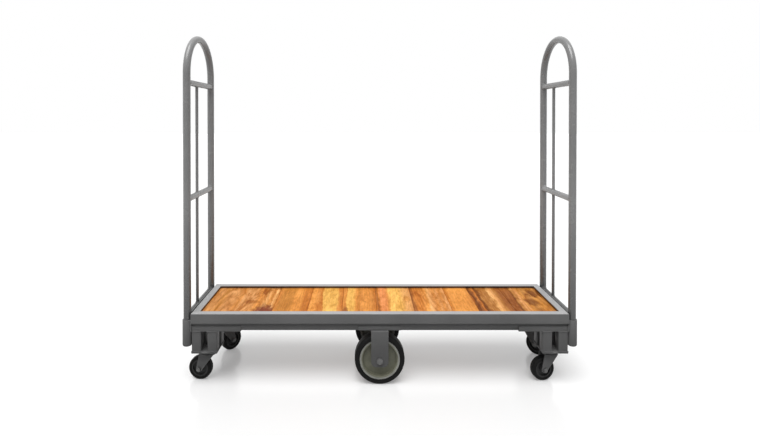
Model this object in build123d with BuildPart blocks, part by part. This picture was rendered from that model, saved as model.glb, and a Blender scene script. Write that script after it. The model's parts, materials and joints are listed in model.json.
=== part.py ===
from build123d import *

import os
from dataclasses import dataclass
from math import cos, radians, sin

# Narrow platform cart, in millimetres. The origin is on the floor under the middle of the deck,
# +X runs along the deck to the right, +Y to the rear and +Z up.

# Deck frame: channel rails with their open sides inward, mitred at the corners
deck_length = 1524.0
deck_width = 356.0
rail_height = 41.0
rail_flange = 29.0
rail_wall = 5.0
rail_round = 3.0

# Deck boards, laid across the deck with their ends in the channels
board_thickness = 25.0
board_gap = 0.8
board_room = 2.0
board_eased_edge = 1.2
board_pattern = (173, 136, 146, 145, 145, 157, 158, 110, 152, 188)

# Tubes and plates under the deck
stringer_width = 25.0
stringer_height = 29.0
stringer_wall = 3.0
stringer_setback = 12.0
bolster_length = 200.0
bolster_thickness = 5.0
bolster_setback = 9.0
lip_height = 17.0
doubler_length = 172.0

# Handles and their sockets
handle_height = 1434.0
post_diameter = 30.0
post_wall = 2.0
hoop_flat = 4.0
rung_diameter = 25.4
rung_wall = 2.0
rung_below_bend = 38.0
spindle_diameter = 12.7
spindle_offset = 37.0
socket_wall = 3.7
socket_length = 107.0
socket_below_rim = 28.0
socket_cap = 5.0
socket_round = 8.0
saddle_width = 24.0

# Swivel casters and the legs over them
caster_height = 133.0
caster_from_end = 56.0
caster_from_side = 60.0
caster_trail = 34.0
caster_plate_thickness = 6.0
caster_plate_lip = 1.0
raceway_radius = 31.0
raceway_depth = 14.0
swivel_washer = 2.0
swivel_washer_radius = 26.0
kingpin_radius = 6.0
kingpin_head_radius = 10.0
kingpin_rivet_radius = 8.0
kingpin_head = 5.0
fork_wall = 5.0
fork_crown_radius = 31.0
fork_leg_lead = 24.0
fork_leg = 4.0
fork_boss_radius = 12.0
riser_tube = 38.0
riser_wall = 3.0
riser_gap_x = 26.0
riser_gap_y = 26.0
riser_from_end = 52.0

# The way each caster's wheel trails from its kingpin, in degrees from +X
caster_trails = {
    "front_left": 175.0,
    "front_right": 190.0,
    "rear_left": 48.0,
    "rear_right": -45.0,
}

# Brackets of the two fixed centre wheels
wheel_headroom = 10.0
bracket_width = 70.0
bracket_plate_thickness = 8.0
bracket_leg = 6.0
bracket_below_axle = 27.0
bracket_round = 22.0
bracket_setback = 1.0
bracket_bolt_x = 20.0
bracket_bolt_inset = 17.0

# Clearances
slide_clearance = 0.35
running_clearance = 0.05
bolt_clearance = 0.1
weld_gap = 0.1
bond_gap = 0.1
seat_gap = 0.3
wheel_side_gap = 0.5


@dataclass(frozen=True)
class WheelSize:
    """A wheel: a tyre on a core that turns on a sleeve."""

    radius: float
    tread_width: float
    tyre_depth: float
    tyre_round: float
    rim_width: float
    rim_depth: float
    web: float
    hub_radius: float
    hub_length: float
    sleeve_radius: float
    core_round: float


@dataclass(frozen=True)
class BoltSize:
    """A hexagon bolt and its nut."""

    radius: float
    across_flats: float
    head: float
    nut: float
    past_nut: float


centre_wheel = WheelSize(101.6, 50.0, 20.0, 9.0, 44.0, 12.0, 10.0, 26.0, 56.0, 11.0, 2.0)
caster_wheel = WheelSize(48.0, 30.0, 13.0, 8.0, 27.0, 6.0, 8.0, 14.0, 36.0, 7.0, 1.0)
centre_axle_bolt = BoltSize(8.0, 24.0, 8.0, 10.0, 3.0)
caster_axle_bolt = BoltSize(5.0, 16.0, 6.4, 8.0, 2.0)
bracket_bolt = BoltSize(5.0, 16.0, 6.4, 8.0, 2.0)

# Heights, from the floor up
stringer_bottom = 2 * centre_wheel.radius + wheel_headroom + bracket_plate_thickness
rail_bottom = stringer_bottom + stringer_height
rim_top = rail_bottom + rail_height
bolster_bottom = stringer_bottom - bolster_thickness
bracket_plate_bottom = stringer_bottom - bracket_plate_thickness

# Places across and along the deck
socket_diameter = post_diameter + 2 * (slide_clearance + socket_wall)
half_length = deck_length / 2
half_width = deck_width / 2
stringer_y = half_width - stringer_setback - stringer_width / 2
lip_outer_y = half_width - bolster_setback
lip_wall = stringer_setback - bolster_setback - weld_gap
post_x = half_length + socket_diameter / 2
post_y = half_width - socket_diameter / 2
caster_x = half_length - caster_from_end
caster_y = half_width - caster_from_side
bracket_outer_y = half_width - bracket_setback
centre_wheel_y = bracket_outer_y - bracket_leg - wheel_side_gap - centre_wheel.hub_length / 2
bracket_inner_y = 2 * centre_wheel_y - bracket_outer_y
bearer_bolt_y = bracket_inner_y + bracket_bolt_inset

# Heights of the sockets and handles
socket_top = rim_top - socket_below_rim
socket_bottom = socket_top - socket_length
post_bottom = socket_bottom + socket_cap + seat_gap
post_radius = post_diameter / 2
rung_radius = rung_diameter / 2
hoop_line_top = handle_height - post_radius
hoop_bend = post_y - hoop_flat / 2
lower_rung = socket_top + seat_gap + rung_radius
upper_rung = hoop_line_top - hoop_bend - rung_below_bend
middle_rung = (lower_rung + upper_rung) / 2

# Heights inside a caster
raceway_bottom = caster_height - caster_plate_thickness - raceway_depth
crown_top = raceway_bottom - swivel_washer - seat_gap
crown_bottom = crown_top - fork_wall
fork_inner = caster_wheel.hub_length / 2 + wheel_side_gap
fork_outer = fork_inner + fork_leg
riser_x = half_length - riser_from_end
riser_spacing_x = riser_gap_x + riser_tube
riser_spacing_y = riser_gap_y + riser_tube

UP = (0, 0, 1)
CORNERS = {
    "front_left": (-1, -1),
    "front_right": (1, -1),
    "rear_left": (-1, 1),
    "rear_right": (1, 1),
}


def save(part, label):
    """Label a finished piece and write it to its own file."""
    part.label = label
    export_step(part, f"parts/{label}.step")


def rail(inward_angle, run, across):
    """One channel rail of a frame that is run long and across wide, its web on the outer side."""
    inward = Vector(cos(radians(inward_angle)), sin(radians(inward_angle)), 0)
    along = inward.cross(Vector(*UP))
    with BuildPart() as piece:
        with BuildSketch(Plane(along * (-run / 2), x_dir=inward, z_dir=along)) as profile:
            with Locations((-across / 2, rail_bottom)):
                Rectangle(rail_flange, rail_height, align=Align.MIN)
            fillet(profile.vertices().group_by(Axis.X)[0], rail_round)
            with Locations((-across / 2 + rail_wall, rail_bottom + rail_wall)):
                Rectangle(rail_flange, rail_height - 2 * rail_wall, align=Align.MIN, mode=Mode.SUBTRACT)
        extrude(amount=run)
        with BuildSketch(Plane((0, 0, rail_bottom), x_dir=along, z_dir=UP)):
            Polygon(
                (-run / 2, -across / 2),
                (run / 2, -across / 2),
                (run / 2 - rail_flange, -across / 2 + rail_flange),
                (-run / 2 + rail_flange, -across / 2 + rail_flange),
                align=None,
            )
        extrude(amount=rail_height, mode=Mode.INTERSECT)
    return piece.part


def deck_board(start, width):
    """One plank that lies on the lower flanges, with its upper edges eased."""
    length = deck_width - 2 * (rail_wall + board_room)
    with BuildPart() as piece:
        with BuildSketch(Plane.XY.offset(rail_bottom + rail_wall)):
            with Locations((start + width / 2, 0)):
                Rectangle(width, length)
        extrude(amount=board_thickness)
        chamfer(piece.faces().sort_by(Axis.Z)[-1].edges(), board_eased_edge)
    return piece.part


def tube_section(width, height, wall):
    """Draw a rectangular tube's section, with its bottom edge on the sketch's origin."""
    Rectangle(width, height, align=(Align.CENTER, Align.MIN))
    with Locations((0, wall)):
        inside = (width - 2 * wall, height - 2 * wall)
        Rectangle(*inside, align=(Align.CENTER, Align.MIN), mode=Mode.SUBTRACT)


def stringer(side):
    """The long tube under the front (-1) or rear (1) rail."""
    with BuildPart() as piece:
        start = (-half_length, side * stringer_y, stringer_bottom)
        with BuildSketch(Plane(start, x_dir=(0, 1, 0), z_dir=(1, 0, 0))):
            tube_section(stringer_width, stringer_height, stringer_wall)
        extrude(amount=deck_length)
        with BuildSketch(Plane.XY.offset(stringer_bottom)):
            with Locations((-bracket_bolt_x, side * stringer_y), (bracket_bolt_x, side * stringer_y)):
                Circle(bracket_bolt.radius + bolt_clearance)
        extrude(amount=stringer_wall, mode=Mode.SUBTRACT)
    return piece.part


def cross_bearers():
    """The two tubes between the stringers that carry the inner bolts of the centre brackets."""
    span = 2 * stringer_y - stringer_width
    with BuildPart() as piece:
        for x in (-bracket_bolt_x, bracket_bolt_x):
            with BuildSketch(Plane((x, span / 2, stringer_bottom), x_dir=(1, 0, 0), z_dir=(0, -1, 0))):
                tube_section(stringer_width, stringer_height, stringer_wall)
            extrude(amount=span)
        with BuildSketch(Plane.XY.offset(stringer_bottom)):
            with GridLocations(2 * bracket_bolt_x, 2 * bearer_bolt_y, 2, 2):
                Circle(bracket_bolt.radius + bolt_clearance)
        extrude(amount=stringer_wall, mode=Mode.SUBTRACT)
    return piece.part


def bolster_plate(end):
    """The plate under the stringers at the left (-1) or right (1) end, turned up over their faces."""
    middle = end * (half_length - bolster_length / 2)
    with BuildPart() as piece:
        with BuildSketch(Plane.XY.offset(bolster_bottom)):
            with Locations((middle, 0)):
                Rectangle(bolster_length, 2 * lip_outer_y)
        extrude(amount=bolster_thickness)
        with BuildSketch(Plane.XY.offset(stringer_bottom)):
            lips(middle, bolster_length)
        extrude(amount=lip_height)
    return piece.part


def lips(middle, length):
    """Draw two strips along the outer faces of the stringers."""
    with Locations((middle, -lip_outer_y), (middle, lip_outer_y - lip_wall)):
        Rectangle(length, lip_wall, align=(Align.CENTER, Align.MIN))


def doubler_bars():
    """The flat bars on the stringers' outer faces over the centre brackets."""
    with BuildPart() as piece:
        with BuildSketch(Plane.XY.offset(stringer_bottom)):
            lips(0, doubler_length)
        extrude(amount=lip_height)
    return piece.part


def riser_legs(end):
    """The square tubes over the two casters at one end, four to a caster."""
    with BuildPart() as piece:
        with BuildSketch(Plane.XY.offset(caster_height)):
            with Locations((end * riser_x, -caster_y), (end * riser_x, caster_y)):
                with GridLocations(riser_spacing_x, riser_spacing_y, 2, 2):
                    Rectangle(riser_tube, riser_tube)
                    inside = riser_tube - 2 * riser_wall
                    Rectangle(inside, inside, mode=Mode.SUBTRACT)
        extrude(amount=bolster_bottom - caster_height)
    return piece.part


def handle_socket(end, side):
    """A tube with a closed, rounded bottom, on a saddle that is welded to the end of the frame."""
    centre = (end * post_x, side * post_y)
    saddle_reach = post_x - half_length
    with BuildPart() as piece:
        with BuildSketch(Plane.XY.offset(socket_bottom)):
            with Locations(centre):
                Circle(socket_diameter / 2)
        extrude(amount=socket_length)
        fillet(piece.edges().group_by(Axis.Z)[0], socket_round)
        with BuildSketch(Plane.XY.offset(bolster_bottom)):
            with Locations((end * (half_length + saddle_reach / 2), side * post_y)):
                Rectangle(saddle_reach, saddle_width)
        extrude(amount=socket_top - bolster_bottom)
        with BuildSketch(Plane.XY.offset(socket_bottom + socket_cap)):
            with Locations(centre):
                Circle(post_radius + slide_clearance)
        extrude(amount=socket_length - socket_cap, mode=Mode.SUBTRACT)
    return piece.part


def handle_hoop(end):
    """A tube bent into a tall hoop, its two posts standing in the sockets."""
    with BuildPart() as piece:
        with BuildLine(Plane.YZ.offset(end * post_x)):
            FilletPolyline(
                (-post_y, post_bottom),
                (-post_y, hoop_line_top),
                (post_y, hoop_line_top),
                (post_y, post_bottom),
                radius=hoop_bend,
            )
        with BuildSketch(Plane((end * post_x, -post_y, post_bottom), x_dir=(1, 0, 0), z_dir=UP)):
            Circle(post_radius)
            Circle(post_radius - post_wall, mode=Mode.SUBTRACT)
        sweep()
    return piece.part


def handle_bars(end):
    """The spindle rods and the three rungs of one handle, coped to fit each other and the posts."""
    rungs = (lower_rung, middle_rung, upper_rung)
    x = end * post_x
    across = Plane((x, post_y, 0), x_dir=(1, 0, 0), z_dir=(0, -1, 0))
    with BuildPart() as piece:
        with BuildSketch(Plane.XY.offset(lower_rung)):
            with Locations((x, end * spindle_offset)):
                Circle(spindle_diameter / 2)
        extrude(amount=upper_rung - lower_rung)
        with BuildSketch(across):
            with Locations(*[(0, z) for z in rungs]):
                Circle(rung_radius + weld_gap)
        extrude(amount=2 * post_y, mode=Mode.SUBTRACT)
        with BuildSketch(across):
            with Locations(*[(0, z) for z in rungs]):
                Circle(rung_radius)
                Circle(rung_radius - rung_wall, mode=Mode.SUBTRACT)
        extrude(amount=2 * post_y)
        with BuildSketch(Plane.XY.offset(lower_rung - rung_diameter)):
            with Locations((x, -post_y), (x, post_y)):
                Circle(post_radius + weld_gap)
        extrude(amount=upper_rung - lower_rung + 2 * rung_diameter, mode=Mode.SUBTRACT)
    return piece.part


def tyre(size, centre, axle):
    """A tyre with rounded shoulders, turned about its axle."""
    inner = size.radius - size.tyre_depth + bond_gap
    with BuildPart() as piece:
        with BuildSketch(Plane(centre, x_dir=axle, z_dir=axle.cross(Vector(*UP)))) as profile:
            with Locations((0, inner)):
                Rectangle(size.tread_width, size.radius - inner, align=(Align.CENTER, Align.MIN))
            fillet(profile.vertices().group_by(Axis.Y)[-1], size.tyre_round)
        revolve(axis=Axis(centre, axle))
    return piece.part


def wheel_core(size, centre, axle):
    """A wheel's hub, web and rim, bored to run on its sleeve."""
    rim_outer = size.radius - size.tyre_depth
    rim_inner = rim_outer - size.rim_depth
    bore = size.sleeve_radius + running_clearance
    with BuildPart() as piece:
        with BuildSketch(Plane(centre, x_dir=axle, z_dir=axle.cross(Vector(*UP)))) as profile:
            for width, low, high in (
                (size.hub_length, bore, size.hub_radius),
                (size.web, size.hub_radius, rim_inner),
                (size.rim_width, rim_inner, rim_outer),
            ):
                with Locations((0, low)):
                    Rectangle(width, high - low, align=(Align.CENTER, Align.MIN))
            middle = profile.vertices().group_by(Axis.Y)[1:-1]
            fillet([vertex for level in middle for vertex in level], size.core_round)
        revolve(axis=Axis(centre, axle))
    return piece.part


def hexagon(bolt, bore=None):
    """Draw a bolt's hexagon, with a bore through it for a nut."""
    RegularPolygon(bolt.across_flats / 2, 6, major_radius=False)
    if bore:
        Circle(bore, mode=Mode.SUBTRACT)


def axle_set(bolt, wheel, centre, axle, leg):
    """A wheel's axle bolt through two legs, the sleeve clamped between them and the nut."""
    inner = wheel.hub_length / 2 + wheel_side_gap
    outer = inner + leg
    tail = outer + bolt.nut + bolt.past_nut
    bore = bolt.radius + bolt_clearance
    x_dir = axle.cross(Vector(*UP))
    with BuildPart() as piece:
        with BuildSketch(Plane(centre - axle * tail, x_dir=x_dir, z_dir=axle)):
            Circle(bolt.radius)
        extrude(amount=tail + outer)
        with BuildSketch(Plane(centre + axle * outer, x_dir=x_dir, z_dir=axle)):
            hexagon(bolt)
        extrude(amount=bolt.head)
        with BuildSketch(Plane(centre - axle * (outer + bolt.nut), x_dir=x_dir, z_dir=axle)):
            hexagon(bolt, bore)
        extrude(amount=bolt.nut)
        with BuildSketch(Plane(centre - axle * inner, x_dir=x_dir, z_dir=axle)):
            Circle(wheel.sleeve_radius)
            Circle(bore, mode=Mode.SUBTRACT)
        extrude(amount=2 * inner)
    return piece.part


def caster_plate(end, side):
    """A caster's top plate under the ends of its four legs, with the raceway standing down from it."""
    centre = (end * caster_x, side * caster_y)
    plate_length = riser_spacing_x + riser_tube + 2 * caster_plate_lip
    plate_width = riser_spacing_y + riser_tube + 2 * caster_plate_lip
    with BuildPart() as piece:
        with BuildSketch(Plane.XY.offset(caster_height - caster_plate_thickness)):
            with Locations((end * riser_x, side * caster_y)):
                Rectangle(plate_length, plate_width)
        extrude(amount=caster_plate_thickness)
        with BuildSketch(Plane.XY.offset(raceway_bottom)):
            with Locations(centre):
                Circle(raceway_radius)
        extrude(amount=raceway_depth)
        with BuildSketch(Plane.XY.offset(raceway_bottom)):
            with Locations(centre):
                Circle(kingpin_radius + bolt_clearance)
        extrude(amount=raceway_depth + caster_plate_thickness, mode=Mode.SUBTRACT)
    return piece.part


def caster_fork(centre, trail):
    """A swivel fork: a round crown and two legs that lean back to the axle."""
    axle = trail.cross(Vector(*UP))
    axis = Vector(*centre, 0)
    with BuildPart() as piece:
        with BuildSketch(Plane.XY.offset(crown_bottom)):
            with Locations(centre):
                Circle(fork_crown_radius)
        extrude(amount=fork_wall)
        for leg_start in (fork_inner, -fork_outer):
            with BuildSketch(Plane(axis + axle * leg_start, x_dir=trail, z_dir=axle)):
                with Locations((-fork_leg_lead, crown_bottom)):
                    Rectangle(fork_leg_lead + caster_trail, fork_wall, align=Align.MIN)
                with Locations((caster_trail, caster_wheel.radius)):
                    Circle(fork_boss_radius)
                make_hull()
            extrude(amount=fork_leg)
        with BuildSketch(Plane.XY.offset(crown_bottom)):
            with Locations(centre):
                Circle(kingpin_radius + running_clearance)
        extrude(amount=fork_wall, mode=Mode.SUBTRACT)
        with BuildSketch(Plane(axis - axle * fork_outer, x_dir=trail, z_dir=axle)):
            with Locations((caster_trail, caster_wheel.radius)):
                Circle(caster_axle_bolt.radius + bolt_clearance)
        extrude(amount=2 * fork_outer, mode=Mode.SUBTRACT)
    return piece.part


def kingpins(centres):
    """The headed pins that hold the forks to their plates."""
    head_bottom = crown_bottom - seat_gap - kingpin_head
    with BuildPart() as piece:
        for bottom, height, radius in (
            (head_bottom, kingpin_head, kingpin_head_radius),
            (head_bottom, caster_height - head_bottom, kingpin_radius),
            (caster_height, kingpin_head, kingpin_rivet_radius),
        ):
            with BuildSketch(Plane.XY.offset(bottom)):
                with Locations(*centres):
                    Circle(radius)
            extrude(amount=height)
    return piece.part


def swivel_washers(centres):
    """The thrust washers between the raceways and the fork crowns."""
    with BuildPart() as piece:
        with BuildSketch(Plane.XY.offset(raceway_bottom - swivel_washer)):
            with Locations(*centres):
                Circle(swivel_washer_radius)
                Circle(kingpin_radius + bolt_clearance, mode=Mode.SUBTRACT)
        extrude(amount=swivel_washer)
    return piece.part


def centre_bracket(side):
    """A fixed wheel's bracket: a plate under the stringer with two legs, round at their feet."""
    foot = centre_wheel.radius - bracket_below_axle
    with BuildPart() as piece:
        with BuildSketch(Plane.XY.offset(bracket_plate_bottom)):
            with Locations((0, side * centre_wheel_y)):
                Rectangle(bracket_width, bracket_outer_y - bracket_inner_y)
            with Locations(*bracket_bolt_places(side)):
                Circle(bracket_bolt.radius + bolt_clearance, mode=Mode.SUBTRACT)
        extrude(amount=bracket_plate_thickness)
        for leg_y in (bracket_outer_y - bracket_leg, bracket_inner_y):
            with BuildSketch(Plane((0, side * leg_y, 0), x_dir=(-side, 0, 0), z_dir=(0, side, 0))) as leg:
                with Locations((0, foot)):
                    leg_height = bracket_plate_bottom - foot
                    Rectangle(bracket_width, leg_height, align=(Align.CENTER, Align.MIN))
                fillet(leg.vertices().group_by(Axis.Y)[0], bracket_round)
                with Locations((0, centre_wheel.radius)):
                    Circle(centre_axle_bolt.radius + bolt_clearance, mode=Mode.SUBTRACT)
            extrude(amount=bracket_leg)
    return piece.part


def bracket_bolt_places(side):
    """Where one centre bracket is bolted: two bolts in its stringer and two in the cross bearers."""
    return [
        (x, side * y)
        for x in (-bracket_bolt_x, bracket_bolt_x)
        for y in (stringer_y, bearer_bolt_y)
    ]


def bracket_bolts():
    """All the bracket bolts, headed below the plates, with their nuts inside the tubes."""
    places = bracket_bolt_places(-1) + bracket_bolt_places(1)
    nut_bottom = stringer_bottom + stringer_wall
    bolt_top = nut_bottom + bracket_bolt.nut + bracket_bolt.past_nut
    with BuildPart() as piece:
        with BuildSketch(Plane.XY.offset(bracket_plate_bottom - bracket_bolt.head)):
            with Locations(*places):
                hexagon(bracket_bolt)
        extrude(amount=bracket_bolt.head)
        with BuildSketch(Plane.XY.offset(bracket_plate_bottom)):
            with Locations(*places):
                Circle(bracket_bolt.radius)
        extrude(amount=bolt_top - bracket_plate_bottom)
        with BuildSketch(Plane.XY.offset(nut_bottom)):
            with Locations(*places):
                hexagon(bracket_bolt, bracket_bolt.radius + bolt_clearance)
        extrude(amount=bracket_bolt.nut)
    return piece.part


def make_deck():
    """Write the rails, the boards and what carries them."""
    save(rail(90, deck_length, deck_width), "front_rail")
    save(rail(-90, deck_length, deck_width), "rear_rail")
    save(rail(0, deck_width, deck_length), "left_end_rail")
    save(rail(180, deck_width, deck_length), "right_end_rail")
    bed = deck_length - 2 * (rail_wall + board_room)
    timber = bed - (len(board_pattern) - 1) * board_gap
    start = -bed / 2
    for number, share in enumerate(board_pattern, 1):
        width = timber * share / sum(board_pattern)
        save(deck_board(start, width), f"deck_board_{number:02d}")
        start += width + board_gap
    save(stringer(-1), "front_stringer")
    save(stringer(1), "rear_stringer")
    save(cross_bearers(), "centre_cross_bearers")
    save(doubler_bars(), "centre_doubler_bars")
    for name, end in (("left", -1), ("right", 1)):
        save(bolster_plate(end), f"{name}_bolster_plate")
        save(riser_legs(end), f"{name}_riser_legs")
    for name, (end, side) in CORNERS.items():
        save(handle_socket(end, side), f"{name}_socket")


def make_handles():
    """Write the two handles, which are one design turned half a turn."""
    for name, end in (("left", -1), ("right", 1)):
        save(handle_hoop(end), f"{name}_handle_hoop")
        save(handle_bars(end), f"{name}_handle_bars")


def make_casters():
    """Write the four swivel casters."""
    centres = [(end * caster_x, side * caster_y) for end, side in CORNERS.values()]
    for (name, corner), centre in zip(CORNERS.items(), centres):
        angle = radians(caster_trails[name])
        trail = Vector(cos(angle), sin(angle), 0)
        axle = trail.cross(Vector(*UP))
        hub = Vector(*centre, caster_wheel.radius) + trail * caster_trail
        save(caster_plate(*corner), f"{name}_caster_plate")
        save(caster_fork(centre, trail), f"{name}_caster_fork")
        save(wheel_core(caster_wheel, hub, axle), f"{name}_caster_hub")
        save(tyre(caster_wheel, hub, axle), f"{name}_caster_tyre")
        save(axle_set(caster_axle_bolt, caster_wheel, hub, axle, fork_leg), f"{name}_caster_axle")
    save(kingpins(centres), "caster_kingpins")
    save(swivel_washers(centres), "caster_swivel_washers")


def make_centre_wheels():
    """Write the two fixed wheels under the middle of the deck."""
    for name, side in (("front", -1), ("rear", 1)):
        hub = Vector(0, side * centre_wheel_y, centre_wheel.radius)
        axle = Vector(0, side, 0)
        save(centre_bracket(side), f"{name}_centre_bracket")
        save(wheel_core(centre_wheel, hub, axle), f"{name}_centre_core")
        save(tyre(centre_wheel, hub, axle), f"{name}_centre_tyre")
        save(axle_set(centre_axle_bolt, centre_wheel, hub, axle, bracket_leg), f"{name}_centre_axle")
    save(bracket_bolts(), "centre_bracket_bolts")


os.makedirs("parts", exist_ok=True)
make_deck()
make_handles()
make_casters()
make_centre_wheels()
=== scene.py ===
import json
import logging
import math
from dataclasses import dataclass
from enum import Enum
from functools import partial
from itertools import product

import bmesh
import bpy
from mathutils import Matrix, Vector


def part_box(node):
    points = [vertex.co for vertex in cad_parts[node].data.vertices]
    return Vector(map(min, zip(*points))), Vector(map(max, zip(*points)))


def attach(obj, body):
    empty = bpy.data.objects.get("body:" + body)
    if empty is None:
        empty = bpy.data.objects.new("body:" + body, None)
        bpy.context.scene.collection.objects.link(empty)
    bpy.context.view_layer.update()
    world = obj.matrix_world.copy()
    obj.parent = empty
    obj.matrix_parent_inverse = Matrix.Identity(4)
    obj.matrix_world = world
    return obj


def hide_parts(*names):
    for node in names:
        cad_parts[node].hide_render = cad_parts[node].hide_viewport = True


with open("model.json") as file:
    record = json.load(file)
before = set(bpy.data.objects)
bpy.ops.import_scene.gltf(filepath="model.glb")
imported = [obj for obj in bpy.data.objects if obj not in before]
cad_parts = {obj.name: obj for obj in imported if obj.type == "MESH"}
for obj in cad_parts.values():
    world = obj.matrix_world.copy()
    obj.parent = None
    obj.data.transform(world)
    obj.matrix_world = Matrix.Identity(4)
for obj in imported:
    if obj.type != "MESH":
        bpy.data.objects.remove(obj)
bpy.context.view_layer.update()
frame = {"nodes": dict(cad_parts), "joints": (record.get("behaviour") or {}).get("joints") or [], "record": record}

Material = bpy.types.Material
Mesh = bmesh.types.BMesh
Socket = bpy.types.NodeSocket
Value = float | tuple[float, ...] | Socket
Pair = tuple[float, float]
Colour = tuple[float, float, float]
Triple = tuple[float, float, float]
logging.basicConfig(level=logging.INFO, format="%(message)s")
log = logging.getLogger("platform_cart")

WHITE = (1.0, 1.0, 1.0, 1.0)
ROUND_FACETS = 32
TYRE_FACETS = 128

# Tolerances, in metres and radians
CAD_MERGE = 2e-6
SHELL_MERGE = 1e-6
LEVEL = 1e-7
FLAT = math.radians(0.4)

# Rounding: which edges, then the ring of quads in widths of the rounding, then degrees
SHARP = math.radians(40)
SHORTEST = 0.01
PARALLEL = 0.999
RING = 1.2
ROUNDED_CREASE = 50.0

FRAME_BODY = "frame"
ENDS = {"left": -1, "right": 1}
SIDES = {"front": -1, "rear": 1}
CORNERS = {f"{side}_{end}": (x, y) for (side, y), (end, x) in product(SIDES.items(), ENDS.items())}


class Axis(Enum):
    """The cart's axes, by number."""

    X = 0
    Y = 1
    Z = 2


class ShaderNodes:
    """A node tree in the making: adds shader nodes and joins their sockets."""

    def __init__(self, tree: bpy.types.NodeTree) -> None:
        """Start with an empty tree.

        Args:
            tree: The tree of a material or a world.
        """
        self.tree = tree
        self.tree.nodes.clear()

    def feed(self, socket: Socket, value: Value) -> None:
        """Join a socket to another one, or set its constant.

        Args:
            socket: The input to feed.
            value: A socket or a constant.
        """
        if isinstance(value, Socket):
            self.tree.links.new(value, socket)
        else:
            socket.default_value = value

    def add(self, kind: str, inputs: dict | None = None, **settings: object) -> bpy.types.Node:
        """Add one node.

        Args:
            kind: The node type without its prefix.
            inputs: Values by input name or number.
            **settings: Properties of the node.

        Returns:
            The new node.
        """
        node = self.tree.nodes.new("ShaderNode" + kind)
        for key, value in settings.items():
            setattr(node, key, value)
        for key, value in (inputs or {}).items():
            self.feed(node.inputs[key], value)
        return node

    def sum(self, operation: str, *values: Value) -> Socket:
        """Work out a Math node.

        Args:
            operation: The node's operation.
            *values: What it works on.

        Returns:
            The result.
        """
        return self.add("Math", dict(enumerate(values)), operation=operation).outputs[0]

    def ranged(self, value: Socket, low: float, high: float, start: float = 0.0) -> Socket:
        """Map a span of values to one that ends at 1, and hold its ends.

        Args:
            value: The value.
            low: The span's low end.
            high: The span's high end.
            start: The result at the low end.

        Returns:
            The result.
        """
        return self.add("MapRange", {0: value, 1: low, 2: high, 3: start, 4: 1.0}).outputs[0]

    def split(self, vector: Socket) -> tuple[Socket, ...]:
        """Take a vector apart.

        Args:
            vector: The vector.

        Returns:
            Its X, Y and Z.
        """
        return tuple(self.add("SeparateXYZ", {0: vector}).outputs)

    def length(self, first: Socket, second: Socket) -> Socket:
        """Measure how long a flat vector is.

        Args:
            first: Its first part.
            second: Its second part.

        Returns:
            The length.
        """
        vector = self.add("CombineXYZ", {0: first, 1: second}).outputs[0]
        return self.add("VectorMath", {0: vector}, operation="LENGTH").outputs["Value"]

    def seen(self) -> Socket:
        """Tell the rays that show a thing, straight or in gloss or glass, from those that only light it.

        Returns:
            1 for a ray that shows it, or else 0.
        """
        rays = self.add("LightPath").outputs
        passed = self.sum("MAXIMUM", rays["Is Glossy Ray"], rays["Is Transmission Ray"])
        return self.sum("MAXIMUM", rays["Is Camera Ray"], passed)


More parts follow.
